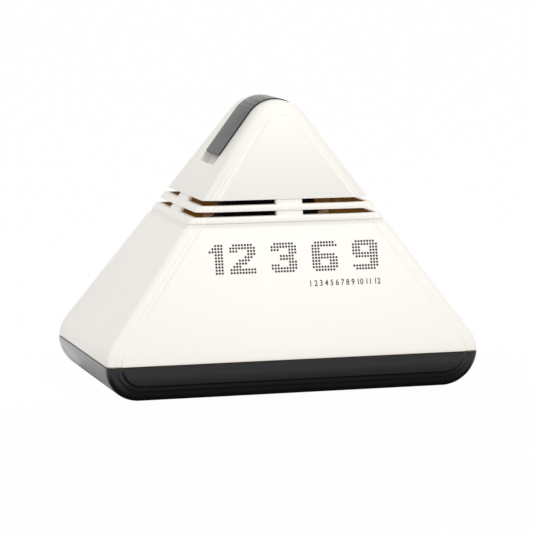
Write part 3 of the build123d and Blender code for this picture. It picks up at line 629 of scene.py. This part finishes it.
@dataclass(frozen=True)
class DisplayGlass(Finish):
    """Grey-green display glass with the faint cells of its unlit segments."""

    colour: Colour = rgba(0.36, 0.41, 0.31)
    cell: float = 1.1 * MM
    line_share: float = 0.06
    cloud_waves: float = 60.0
    swell_waves: float = 120.0
    swell_height: float = 0.003 * MM

    def lay(self, shader: Shader) -> None:
        """Lay clouded glass with faint lines between its cells.

        Args:
            shader: Node tree of the material.
        """
        across, along, _ = shader.axes()
        lines = across.striped(self.cell, self.line_share)
        rows = along.striped(self.cell, self.line_share)
        cloud = shader.noise(self.cloud_waves)
        plain = shader.mix(cloud, self.colour, scaled(self.colour, 1.08))
        dark = scaled(self.colour, 0.7)
        shader.vary("Base Color", shader.mix(0.10 * lines.larger(rows), plain, dark))
        shader.vary("Roughness", 0.12 + 0.08 * cloud)
        shader.constants(IOR=1.5)
        shader.bump(shader.noise(self.swell_waves, 1.0), self.swell_height)


@dataclass(frozen=True)
class PrintInk(Finish):
    """Screen-printed ink with slightly uneven cover."""

    colour: Colour
    roughness: float = 0.5
    cover_waves: float = 1800.0
    relief: float = 0.01 * MM

    def lay(self, shader: Shader) -> None:
        """Lay ink that is lighter and rougher where it covers less.

        Args:
            shader: Node tree of the material.
        """
        cover = shader.noise(self.cover_waves, 4.0, 0.7)
        shader.vary("Base Color", shader.mix(cover, self.colour, scaled(self.colour, 1.8)))
        shader.vary("Roughness", self.roughness + 0.12 * cover)
        shader.bump(cover, self.relief)


@dataclass(frozen=True)
class CellJacket(Finish):
    """Printed jackets of battery cells: dark bodies with lighter bands."""

    body: Colour = rgba(0.015, 0.045, 0.035)
    band: Colour = rgba(0.55, 0.46, 0.25)
    cell_length: float = 50.45 * MM
    band_reach: float = 13.0 * MM
    wear_waves: float = 240.0
    crease_waves: float = 900.0
    crease_depth: float = 0.006 * MM

    def lay(self, shader: Shader) -> None:
        """Lay the dark print, slightly worn, and the band with a metal sheen.

        Args:
            shader: Node tree of the material.
        """
        across, _, _ = shader.axes()
        band = across.folded(self.cell_length).below(self.band_reach)
        wear = shader.noise(self.wear_waves, 4.0)
        body = shader.mix(wear, self.body, scaled(self.body, 1.4))
        shader.vary("Base Color", shader.mix(band, body, self.band))
        shader.vary("Roughness", 0.25 + 0.15 * wear)
        shader.vary("Metallic", 0.6 * band)
        shader.bump(shader.noise(self.crease_waves, 2.0), self.crease_depth)


@dataclass(frozen=True)
class Winding(Finish):
    """Fine enamelled copper wire wound in close turns."""

    colour: Colour = rgba(0.55, 0.20, 0.08)
    turn: float = 0.2 * MM
    relief: float = 0.1 * MM
    smear_waves: float = 500.0

    def lay(self, shader: Shader) -> None:
        """Lay turn over turn up the object, with painted shade between the turns.

        Args:
            shader: Node tree of the material.
        """
        _, _, up = shader.axes()
        wire = up.folded(self.turn) / self.turn
        # each turn darkens to half where it meets the next: painted shade in the grooves between turns
        shader.vary("Base Color", shader.mix(wire, scaled(self.colour, 0.5), self.colour))
        shader.vary("Roughness", 0.25 + 0.15 * shader.noise(self.smear_waves, 2.0))
        shader.constants(Metallic=1.0)
        shader.bump(wire, self.relief)


class Tools:
    """Modelling steps that several pieces share."""

    merge_gap: float = 0.002 * MM
    flat_angle: float = math.radians(0.3)
    sharp_angle: float = math.radians(32.0)

    @staticmethod
    def deselect() -> None:
        """Leave every object out of the next operator."""
        if bpy.context.mode != "OBJECT":
            bpy.ops.object.mode_set(mode="OBJECT")
        bpy.ops.object.select_all(action="DESELECT")

    @staticmethod
    def choose(*pieces: bpy.types.Object) -> None:
        """Select some objects alone.

        Args:
            pieces: The objects, of which the first becomes the active one.
        """
        Tools.deselect()
        for piece in pieces:
            piece.select_set(True)
        bpy.context.view_layer.objects.active = pieces[0]

    @staticmethod
    def settle(piece: bpy.types.Object) -> None:
        """Put the object's place, turn and scale into its mesh."""
        Tools.choose(piece)
        bpy.ops.object.transform_apply(location=True, rotation=True, scale=True)

    @staticmethod
    def joined(pieces: list[bpy.types.Object], name: str) -> bpy.types.Object:
        """Join several objects into one at the origin.

        Args:
            pieces: Objects with a mesh each.
            name: Name of the joined piece.

        Returns:
            The joined object.
        """
        Tools.choose(*pieces)
        bpy.ops.object.join()
        piece = bpy.context.active_object
        piece.name = name
        Tools.settle(piece)
        return piece

    @staticmethod
    def copy_node(node: str) -> bpy.types.Object:
        """A merged copy of a CAD node's mesh, free to be shaped.

        Args:
            node: Name of the CAD node.

        Returns:
            The new object at the origin.
        """
        piece = bpy.data.objects.new(f"{node}_finished", NODES[node].data.copy())
        bpy.context.scene.collection.objects.link(piece)
        Tools.choose(piece)
        bpy.ops.object.mode_set(mode="EDIT")
        bpy.ops.mesh.select_all(action="SELECT")
        bpy.ops.mesh.remove_doubles(threshold=Tools.merge_gap)
        bpy.ops.mesh.dissolve_limited(angle_limit=Tools.flat_angle)
        bpy.ops.object.mode_set(mode="OBJECT")
        return piece

    @staticmethod
    def smooth(piece: bpy.types.Object) -> None:
        """Shade a piece smooth but for its sharp edges."""
        Tools.choose(piece)
        bpy.ops.object.shade_smooth_by_angle(angle=Tools.sharp_angle)

    @staticmethod
    def bevel(piece: bpy.types.Object, width: float) -> None:
        """Round the sharp edges of a piece and shade it.

        Args:
            piece: Object to round.
            width: Width of the rounding.
        """
        Tools.choose(piece)
        step = piece.modifiers.new("edge", "BEVEL")
        step.width = width
        step.segments = 2
        step.limit_method = "ANGLE"
        step.angle_limit = Tools.sharp_angle
        bpy.ops.object.modifier_apply(modifier=step.name)
        Tools.smooth(piece)

    @staticmethod
    def dress(piece: bpy.types.Object, material: bpy.types.Material, slot: str,
              body: str = "root") -> None:
        """Give a finished piece its finish and its place in the frame.

        Args:
            piece: Finished object.
            material: Its only material.
            slot: Material slot of the record; not used.
            body: Body of the frame that carries the piece.
        """
        piece.data.materials.clear()
        piece.data.materials.append(material)
        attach(piece, body)
        log.info("piece %s rides on %s", piece.name, body)


def dress_nodes(finishes: Finishes) -> None:
    """Give every CAD node the finish of its slot and leave its shape alone.

    Args:
        finishes: Materials by slot name.
    """
    for name, node in NODES.items():
        material = finishes[SLOTS[name]]
        if not node.data.materials:
            node.data.materials.append(material)
        for place in node.material_slots:
            place.material = material
    log.info("dressed %d nodes", len(NODES))


@dataclass
class RoundedPieces:
    """Copies of the CAD nodes with softened edges, each in place of its node."""

    edges: dict[str, float] = field(default_factory=lambda: {
        "housing": 0.15 * MM, "cap": 0.15 * MM, "base_tray": 0.45 * MM, "talk_bar": 0.12 * MM,
        "battery_door": 0.20 * MM, "speaker_holder": 0.20 * MM, "feet": 0.15 * MM,
        "hour_button": 0.12 * MM, "minute_button": 0.12 * MM, "alarm_set_button": 0.12 * MM,
        "volume_button": 0.12 * MM, "alarm_switch_knob": 0.20 * MM, "voice_switch_knob": 0.20 * MM,
        "display_window": 0.10 * MM, "display_glass": 0.10 * MM, "base_screws": 0.12 * MM,
        "cap_screws": 0.12 * MM, "board_screws": 0.08 * MM, "talk_board_screws": 0.08 * MM,
        "main_board": 0.08 * MM, "talk_board": 0.08 * MM, "speech_chip": 0.06 * MM,
        "clock_chip": 0.06 * MM, "resistors": 0.05 * MM, "capacitors": 0.10 * MM,
        "crystal": 0.25 * MM, "button_switches": 0.10 * MM, "slide_switches": 0.15 * MM,
        "battery_cells": 0.30 * MM, "battery_link": 0.08 * MM, "battery_contact_minus": 0.08 * MM,
        "battery_contact_plus": 0.08 * MM, "speaker_yoke": 0.30 * MM, "speaker_magnet": 0.30 * MM,
        "speaker_top_plate": 0.15 * MM, "speaker_ring": 0.12 * MM, "speaker_gasket": 0.10 * MM,
    })
    smooth_only: tuple[str, ...] = (
        "battery_springs", "speaker_frame", "speaker_cone", "speaker_surround",
        "speaker_dust_cap", "speaker_voice_coil", "battery_lead_minus", "battery_lead_plus",
        "speaker_leads", "talk_leads",
    )

    def build(self, finishes: Finishes) -> None:
        """Copy, round and dress each piece.

        Args:
            finishes: Materials by slot name.
        """
        for node in (*self.edges, *self.smooth_only):
            piece = Tools.copy_node(node)
            if node in self.edges:
                Tools.bevel(piece, self.edges[node])
            else:
                Tools.smooth(piece)
            Tools.dress(piece, finishes[SLOTS[node]], SLOTS[node], BODIES[node])
            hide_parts(node)


@dataclass
class FacePlane:
    """The leaning plane of the raised panel."""

    facing: Facing = Facing.FRONT
    form: BodyForm = BodyForm()
    proud: float = 0.02 * MM

    def matrix(self, across: float, height: float) -> Matrix:
        """Place on the panel whose Z axis points out of the face.

        Args:
            across: X on the panel.
            height: Height above the desk.

        Returns:
            A matrix for a flat piece lying on the panel, reading upright from outside.
        """
        side = self.facing.value
        right = Vector((-side, 0.0, 0.0))
        up = Vector((0.0, -side * math.sin(self.form.lean), math.cos(self.form.lean)))
        out = right.cross(up)
        spot = Vector((across, side * self.form.panel_depth(height), height)) + out * self.proud
        matrix = Matrix((right, up, out)).transposed().to_4x4()
        matrix.translation = spot
        return matrix


# Rows of dots of each printed figure, from the top row down.
DIGITS = {
    "1": ["  xxx", " xxxx", "xxxxx", "  xxx", "  xxx", "  xxx", "  xxx", "  xxx", "  xxx",
          "  xxx"],
    "2": [" xxxxxxx ", "xxxxxxxxx", "xxx   xxx", "      xxx", "     xxx ", "   xxxx  ",
          "  xxxx   ", " xxx     ", "xxxxxxxxx", "xxxxxxxxx"],
    "3": [" xxxxxxx ", "xxxxxxxxx", "xxx   xxx", "      xxx", "   xxxxx ", "   xxxxx ",
          "      xxx", "xxx   xxx", "xxxxxxxxx", " xxxxxxx "],
    "6": [" xxxxxxx ", "xxxxxxxxx", "xxx      ", "xxx      ", "xxxxxxxx ", "xxxxxxxxx",
          "xxx   xxx", "xxx   xxx", "xxxxxxxxx", " xxxxxxx "],
    "9": [" xxxxxxx ", "xxxxxxxxx", "xxx   xxx", "xxx   xxx", "xxxxxxxxx", " xxxxxxxx",
          "      xxx", "      xxx", "xxxxxxxxx", " xxxxxxx "],
}


@dataclass
class FacePrint:
    """The print on the front: four dial hours in dots over a small row of the twelve hours."""

    plane: FacePlane = field(default_factory=FacePlane)
    text: str = "12 3 6 9"
    dot_diameter: float = 1.00 * MM
    dot_pitch: float = 1.30 * MM
    dot_sides: int = 14
    block_left: float = -36.2 * MM
    block_top: float = 64.4 * MM
    glyph_gap: int = 2
    word_gap: int = 5
    thickness: float = 0.03 * MM
    hours_left: float = 7.2 * MM
    hours_width: float = 31.6 * MM
    hours_base: float = 46.0 * MM
    hours_size: float = 3.5 * MM
    hours_swell: float = 0.06 * MM

    def dot_places(self) -> list[tuple[int, int]]:
        """Where the dots of the text lie.

        Returns:
            Column and row of every dot, counted from the block's top left.
        """
        places = []
        start = 0
        for letter in self.text:
            if letter == " ":
                start += self.word_gap - self.glyph_gap
                continue
            glyph = DIGITS[letter]
            for row, line in enumerate(glyph):
                for column, mark in enumerate(line):
                    if mark == "x":
                        places.append((start + column, row))
            start += len(glyph[0]) + self.glyph_gap
        return places

    def disc(self) -> bpy.types.Mesh:
        """Mesh of one dot.

        Returns:
            A low disc that stands on the plane of its own X and Y axes.
        """
        Tools.deselect()
        bpy.ops.mesh.primitive_cylinder_add(vertices=self.dot_sides, end_fill_type="TRIFAN",
                                            radius=self.dot_diameter / 2, depth=self.thickness)
        disc = bpy.context.active_object
        Tools.choose(disc)
        bpy.ops.object.mode_set(mode="EDIT")
        bpy.ops.mesh.select_all(action="SELECT")
        bpy.ops.transform.translate(value=(0.0, 0.0, self.thickness / 2))
        bpy.ops.object.mode_set(mode="OBJECT")
        mesh = disc.data
        bpy.data.objects.remove(disc)
        return mesh

    def dots(self) -> bpy.types.Object:
        """One piece that holds all dots as low discs on the panel.

        Returns:
            The joined object.
        """
        disc = self.disc()
        rise = math.cos(self.plane.form.lean)
        copies = []
        for column, row in self.dot_places():
            across = self.block_left + self.dot_diameter / 2 + column * self.dot_pitch
            height = self.block_top - (row * self.dot_pitch + self.dot_diameter / 2) * rise
            dot = bpy.data.objects.new("dot", disc.copy())
            bpy.context.scene.collection.objects.link(dot)
            dot.matrix_world = self.plane.matrix(across, height)
            copies.append(dot)
        return Tools.joined(copies, "print_dots")

    def hours(self) -> bpy.types.Object:
        """The small row of plain numbers from 1 to 12.

        Returns:
            The row as one object.
        """
        Tools.deselect()
        bpy.ops.object.text_add()
        piece = bpy.context.active_object
        piece.data.body = " ".join(str(hour) for hour in range(1, 13))
        piece.data.size = self.hours_size
        piece.data.extrude = self.thickness / 2
        piece.data.offset = self.hours_swell
        piece.data.resolution_u = 4
        bpy.context.view_layer.update()
        stretch = self.hours_width / piece.dimensions.x
        bpy.ops.object.convert(target="MESH")
        piece = bpy.context.active_object
        piece.name = "print_hours"
        piece.scale = (stretch, 1.0, 1.0)
        Tools.settle(piece)
        piece.data.transform(self.plane.matrix(self.hours_left, self.hours_base))
        return piece

    def build(self, finishes: Finishes) -> None:
        """Print the face with the inks among the finishes."""
        Tools.dress(self.dots(), finishes["print_black"], "black_shell")
        Tools.dress(self.hours(), finishes["print_grey"], "black_shell")


# Lit segments of each figure on the display: a on top, b to f clockwise from it, g in the middle.
SEGMENTS = {"0": "abcdef", "1": "bc", "2": "abdeg", "3": "abcdg", "4": "bcfg", "5": "acdfg",
            "6": "acdefg", "7": "abc", "8": "abcdefg", "9": "abcdfg"}


@dataclass
class DisplayFigures:
    """The dark segments of the time on the display, read from below."""

    text: str = "10:28"
    digit_width: float = 4.4 * MM
    digit_height: float = 9.0 * MM
    stroke: float = 0.95 * MM
    gap: float = 0.18 * MM
    pitch: float = 6.6 * MM
    colon_pitch: float = 3.2 * MM
    colon_share: float = 0.2
    thickness: float = 0.02 * MM

    def bars(self) -> dict[str, tuple[float, float, float, float]]:
        """The seven segments of one figure.

        Returns:
            Centre and size of each segment by its letter, from the figure's middle.
        """
        across = (self.digit_width - self.stroke) / 2
        up = (self.digit_height - self.stroke) / 2
        flat = self.digit_width - self.stroke - 2 * self.gap
        tall = up - self.stroke / 2 - self.gap
        return {
            "a": (0.0, up, flat, self.stroke),
            "b": (across, up / 2, self.stroke, tall),
            "c": (across, -up / 2, self.stroke, tall),
            "d": (0.0, -up, flat, self.stroke),
            "e": (-across, -up / 2, self.stroke, tall),
            "f": (-across, up / 2, self.stroke, tall),
            "g": (0.0, 0.0, flat, self.stroke),
        }

    def places(self) -> list[tuple[float, float, float, float]]:
        """Every mark of the text.

        Returns:
            Centre and size of each mark, from the display's middle.
        """
        steps = [self.colon_pitch if letter == ":" else self.pitch for letter in self.text]
        start = -sum(steps) / 2
        marks = []
        for letter, step in zip(self.text, steps):
            middle = start + step / 2
            start += step
            if letter == ":":
                lift = self.digit_height * self.colon_share
                marks += [(middle, lift, self.stroke, self.stroke),
                          (middle, -lift, self.stroke, self.stroke)]
                continue
            for name in SEGMENTS[letter]:
                across, up, width, height = self.bars()[name]
                marks.append((middle + across, up, width, height))
        return marks

    def build(self, finishes: Finishes) -> None:
        """Lay the segments under the glass.

        Args:
            finishes: Materials by name.
        """
        low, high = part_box("display_glass")
        middle_x = (low.x + high.x) / 2
        middle_y = (low.y + high.y) / 2
        bars = []
        for across, up, width, height in self.places():
            Tools.deselect()
            bpy.ops.mesh.primitive_cube_add(size=1.0)
            bar = bpy.context.active_object
            bar.scale = (width, height, self.thickness)
            bar.location = (middle_x + across, middle_y - up, low.z - self.thickness / 2)
            bars.append(bar)
        figures = Tools.joined(bars, "display_figures")
        Tools.dress(figures, finishes["print_black"], "black_shell")


@dataclass
class StudioFloor:
    """A wide floor: white to the camera, shaded where the clock's gloss shows it, clear from below."""

    size: float = 16000.0 * MM
    gap: float = 0.05 * MM
    glow: float = 0.985
    # painted shade of the floor round the clock's foot
    shade: Colour = grey(0.03)
    near: Colour = grey(0.42)
    far: Colour = grey(0.95)
    blend: float = 120.0 * MM
    shade_x: float = 85.0 * MM
    shade_y: float = 44.0 * MM
    shade_fade: float = 20.0 * MM
    end_x: float = 60.0 * MM
    end_y: float = -42.0 * MM

    def paint(self, shader: Shader) -> bpy.types.NodeSocket:
        """Painted shade round the clock's foot, pale behind the clock and beside its left end.

        Args:
            shader: Node tree of the floor.

        Returns:
            Socket with the colour.
        """
        across, along, _ = shader.axes()
        behind = shader.ramp(along, -self.blend, self.blend)
        beside = (shader.ramp(0.0 - across, self.end_x, self.end_x + self.shade_fade)
                  * shader.ramp(along, self.end_y, self.end_y + self.shade_fade))
        outside = (across.absolute() - self.shade_x).larger(along.absolute() - self.shade_y)
        away = shader.ramp(outside, 0.0, self.shade_fade)
        open_floor = shader.mix(behind.larger(beside), self.near, self.far)
        # painted shade round the foot, except beside the left end
        return shader.mix(away.larger(beside), self.shade, open_floor)

    def cover(self, shader: Shader) -> bpy.types.NodeSocket:
        """White light for the camera over the painted floor, and nothing from below.

        Args:
            shader: Node tree of the floor.

        Returns:
            Socket with the surface.
        """
        light = shader.node("ShaderNodeEmission", values={"Color": grey(1.0), "Strength": 1.0})
        path = shader.node("ShaderNodeLightPath")
        seen = self.glow * shader.signal(path.outputs["Is Camera Ray"])
        top = shader.blend(seen, shader.surface.outputs["BSDF"], light.outputs[0])
        clear = shader.node("ShaderNodeBsdfTransparent")
        side = shader.node("ShaderNodeNewGeometry")
        return shader.blend(side.outputs["Backfacing"], top, clear.outputs[0])

    def build(self) -> None:
        """Lay the floor just under the feet."""
        Tools.deselect()
        bpy.ops.mesh.primitive_grid_add(x_subdivisions=4, y_subdivisions=4, size=self.size,
                                        location=(0.0, 0.0, -self.gap))
        ground = bpy.context.active_object
        ground.name = "studio_floor"
        shader = Shader("studio_floor")
        shader.vary("Base Color", self.paint(shader))
        shader.constants(Roughness=0.9, IOR=1.2)
        shader.feed(shader.output.inputs["Surface"], self.cover(shader))
        ground.data.materials.append(shader.material)


@dataclass
class Studio:
    """The floor, a pale world and two soft lamps."""

    floor: StudioFloor = field(default_factory=StudioFloor)
    world_level: float = 0.70
    lamp_aim: Triple = (0.0, 0.0, 50.0 * MM)
    key_place: Triple = (350.0 * MM, -900.0 * MM, 750.0 * MM)
    key_size: float = 700.0 * MM
    key_power: float = 5.15
    fill_place: Triple = (-800.0 * MM, -500.0 * MM, 500.0 * MM)
    fill_size: float = 600.0 * MM
    fill_power: float = 1.45

    def lamp(self, name: str, place: Triple, size: float, power: float) -> None:
        """Hang a square area lamp that looks at the middle of the clock.

        Args:
            name: Name of the lamp.
            place: Where it hangs.
            size: Length of its sides.
            power: Its power in watts.
        """
        light = bpy.data.lights.new(name, "AREA")
        light.shape = "SQUARE"
        light.size = size
        light.energy = power
        holder = bpy.data.objects.new(name, light)
        bpy.context.scene.collection.objects.link(holder)
        holder.location = place
        look = Vector(self.lamp_aim) - Vector(place)
        holder.rotation_euler = look.to_track_quat("-Z", "Y").to_euler()

    def surroundings(self) -> None:
        """A pale world, pure white where the camera and the gloss see it."""
        world = bpy.data.worlds.new("studio_world")
        bpy.context.scene.world = world
        world.use_nodes = True
        tree = NodeTree(world.node_tree)
        pale = tree.node("ShaderNodeBackground",
                         values={"Color": grey(1.0), "Strength": self.world_level})
        white = tree.node("ShaderNodeBackground", values={"Color": grey(1.0), "Strength": 1.0})
        path = tree.node("ShaderNodeLightPath")
        camera_ray = tree.signal(path.outputs["Is Camera Ray"])
        gloss_ray = tree.signal(path.outputs["Is Glossy Ray"])
        sky = tree.blend(camera_ray.larger(gloss_ray), pale.outputs[0], white.outputs[0])
        tree.node("ShaderNodeOutputWorld", values={"Surface": sky})

    def build(self) -> None:
        """Set up floor, world and lamps."""
        self.floor.build()
        self.surroundings()
        self.lamp("key_lamp", self.key_place, self.key_size, self.key_power)
        self.lamp("fill_lamp", self.fill_place, self.fill_size, self.fill_power)
        bpy.context.scene.view_settings.view_transform = "Standard"


@dataclass
class PhotoCamera:
    """Long lens that sees the clock as the photograph does."""

    azimuth: float = 17.73
    elevation: float = 8.21
    roll: float = 0.47
    distance: float = 1158.7 * MM
    aim: Triple = (0.33 * MM, 0.0, 49.34 * MM)
    focal_pixels: float = 2661.0
    frame_pixels: float = 533.0
    sensor: float = 36.0
    nearest: float = 10.0 * MM
    farthest: float = 20000.0 * MM

    def matrix(self) -> Matrix:
        """Place and turn of the camera.

        Returns:
            A matrix worked out from the angles about the point that the lens looks at.
        """
        side, rise, tilt = (math.radians(angle)
                            for angle in (self.azimuth, self.elevation, self.roll))
        back = Vector((-math.sin(side) * math.cos(rise), -math.cos(side) * math.cos(rise),
                       math.sin(rise)))
        right = (-back).cross(Vector((0.0, 0.0, 1.0))).normalized()
        up = right.cross(-back)
        rolled_right = math.cos(tilt) * right + math.sin(tilt) * up
        rolled_up = math.cos(tilt) * up - math.sin(tilt) * right
        matrix = Matrix((rolled_right, rolled_up, back)).transposed().to_4x4()
        matrix.translation = Vector(self.aim) + back * self.distance
        return matrix

    def build(self) -> None:
        """Create the camera and make it the scene's own."""
        data = bpy.data.cameras.new("photo_camera")
        data.sensor_width = self.sensor
        data.sensor_fit = "HORIZONTAL"
        data.lens = self.focal_pixels / self.frame_pixels * self.sensor
        data.clip_start = self.nearest
        data.clip_end = self.farthest
        camera = bpy.data.objects.new("photo_camera", data)
        bpy.context.scene.collection.objects.link(camera)
        camera.matrix_world = self.matrix()
        bpy.context.scene.camera = camera


def make_finishes() -> Finishes:
    """Make the finish of every slot and of the print.

    Returns:
        The materials by slot name, or by their own name where no slot has them.
    """
    finishes = (
        ShellPlastic("white_shell", rgba(0.93, 0.90, 0.85), 0.34, spread=0.012, warmth=0.004,
                     grain_height=0.008 * MM),
        MouldedPlastic("black_shell", rgba(0.008, 0.008, 0.009), 0.16, ior=1.48, spread=0.15,
                       grain_height=0.004 * MM, coat=0.7),
        MouldedPlastic("bar_plastic", rgba(0.010, 0.010, 0.011), 0.26, ior=1.43, spread=0.25,
                       grain_height=0.02 * MM),
        MouldedPlastic("holder_plastic", grey(0.002), 0.6, ior=1.2, spread=0.2),
        MouldedPlastic("button_plastic", rgba(0.30, 0.31, 0.32), 0.42),
        MouldedPlastic("switch_plastic", grey(0.02), 0.4),
        Rubber("foot_rubber", grey(0.02)),
        Rubber("dome_rubber", rgba(0.32, 0.32, 0.33)),
        Rubber("foam_edge", grey(0.012), 0.8),
        Rubber("ferrite", rgba(0.03, 0.03, 0.033), 0.5),
        PressedPaper("cone_paper", rgba(0.035, 0.033, 0.030)),
        Winding("copper_winding"),
        PlatedSteel("pressed_steel"),
        PlatedSteel("screw_steel", rgba(0.50, 0.51, 0.53)),
        PlatedSteel("spring_steel", rgba(0.58, 0.59, 0.61), 0.2),
        PlatedSteel("contact_nickel", rgba(0.66, 0.64, 0.60), 0.22),
        CellJacket("cell_jacket"),
        ClearPlastic("clear_window", rgba(0.80, 0.84, 0.84)),
        DisplayGlass("display_glass"),
        CircuitBoard("circuit_board"),
        MouldedPlastic("chip_resin", grey(0.012), 0.5, grain_waves=4000.0,
                       grain_height=0.03 * MM),
        MouldedPlastic("capacitor_sleeve", rgba(0.012, 0.02, 0.07), 0.3),
        MouldedPlastic("black_insulation", grey(0.012), 0.4),
        MouldedPlastic("red_insulation", rgba(0.42, 0.012, 0.010), 0.4),
        PrintInk("print_black", grey(0.010)),
        PrintInk("print_grey", rgba(0.035, 0.035, 0.036)),
    )
    return {finish.name: finish.build() for finish in finishes}


def main() -> None:
    """Build the clock's looks in order."""
    PhotoCamera().build()
    Studio().build()
    finishes = make_finishes()
    dress_nodes(finishes)
    RoundedPieces().build(finishes)
    FacePrint().build(finishes)
    DisplayFigures().build(finishes)


if __name__ == "__main__":
    main()
